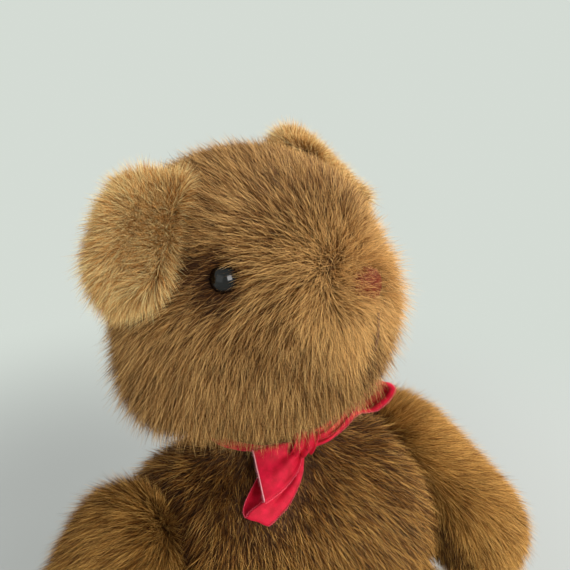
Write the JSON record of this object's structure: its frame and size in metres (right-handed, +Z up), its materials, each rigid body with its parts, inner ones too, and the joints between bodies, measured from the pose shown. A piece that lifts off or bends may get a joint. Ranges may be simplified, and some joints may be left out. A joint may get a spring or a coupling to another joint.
{
  "type": "jointed teddy bear",
  "caption": "Plush teddy bear that sits, with a head and limbs turning on hidden disc joints, safety eyes and a ribbon round its neck.",
  "frame": {"origin": "on the surface that the sitting bear rests on, in the middle of the base of its body, under the neck joint", "axes": "+Z up through the middle of the neck joint, -Y where the body faces, +X to the bear's own left"},
  "size_m": [0.282, 0.1873, 0.324],
  "materials": {
    "plush": "long brown mohair pile",
    "ear_plush": "lighter golden pile",
    "sole_suede": "short suede nap",
    "filling": "polyester fibre filling",
    "joint_plastic": "moulded",
    "eye_plastic": "polished",
    "nose_thread": "satin stitch",
    "ribbon": "woven satin",
    "washer_steel": "zinc plated"
  },
  "bodies": {
    "body": {"body_cover": "plush", "body_stuffing": "filling", "neck_washer": "joint_plastic", "shoulder_left_washer": "joint_plastic", "shoulder_right_washer": "joint_plastic", "hip_left_washer": "joint_plastic", "hip_right_washer": "joint_plastic", "ribbon_band": "ribbon", "ribbon_fall": "ribbon", "ribbon_knot": "ribbon", "ribbon_loop": "ribbon", "ribbon_tail": "ribbon"},
    "head": {"head_cover": "plush", "head_stuffing": "filling", "ear_left": "ear_plush", "ear_right": "ear_plush", "eye_left": "eye_plastic", "eye_right": "eye_plastic", "eye_washer_left": "washer_steel", "eye_washer_right": "washer_steel", "nose": "nose_thread", "mouth": "nose_thread", "neck_disc": "joint_plastic", "neck_lock": "washer_steel"},
    "arm_left": {"arm_left_cover": "plush", "arm_left_stuffing": "filling", "shoulder_left_disc": "joint_plastic", "shoulder_left_lock": "washer_steel"},
    "leg_left": {"leg_left_cover": "plush", "leg_left_stuffing": "filling", "sole_left": "sole_suede", "hip_left_disc": "joint_plastic", "hip_left_lock": "washer_steel"},
    "arm_right": {"arm_right_cover": "plush", "arm_right_stuffing": "filling", "shoulder_right_disc": "joint_plastic", "shoulder_right_lock": "washer_steel"},
    "leg_right": {"leg_right_cover": "plush", "leg_right_stuffing": "filling", "sole_right": "sole_suede", "hip_right_disc": "joint_plastic", "hip_right_lock": "washer_steel"}
  },
  "joints": [
    {"name": "neck_turn", "type": "hinge", "parent": "body", "child": "head", "pos_m": [0, 0, 0.19], "axis": [-0.0512, 0.0338, 0.9981], "continuous": true},
    {"name": "shoulder_left_turn", "type": "hinge", "parent": "body", "child": "arm_left", "pos_m": [0.06728, -0.006, 0.13716], "axis": [-0.9613, 0, -0.2756], "range_deg": [-160, 80]},
    {"name": "shoulder_right_turn", "type": "hinge", "parent": "body", "child": "arm_right", "pos_m": [-0.06728, -0.006, 0.13716], "axis": [-0.9613, 0, 0.2756], "range_deg": [-100, 140]},
    {"name": "hip_left_turn", "type": "hinge", "parent": "body", "child": "leg_left", "pos_m": [0.06451, 0.00198, 0.035], "axis": [0.9583, 0.2389, -0.1564], "range_deg": [-5, 180]},
    {"name": "hip_right_turn", "type": "hinge", "parent": "body", "child": "leg_right", "pos_m": [-0.06451, 0.00198, 0.035], "axis": [0.9583, -0.2389, 0.1564], "range_deg": [-5, 180]}
  ]
}
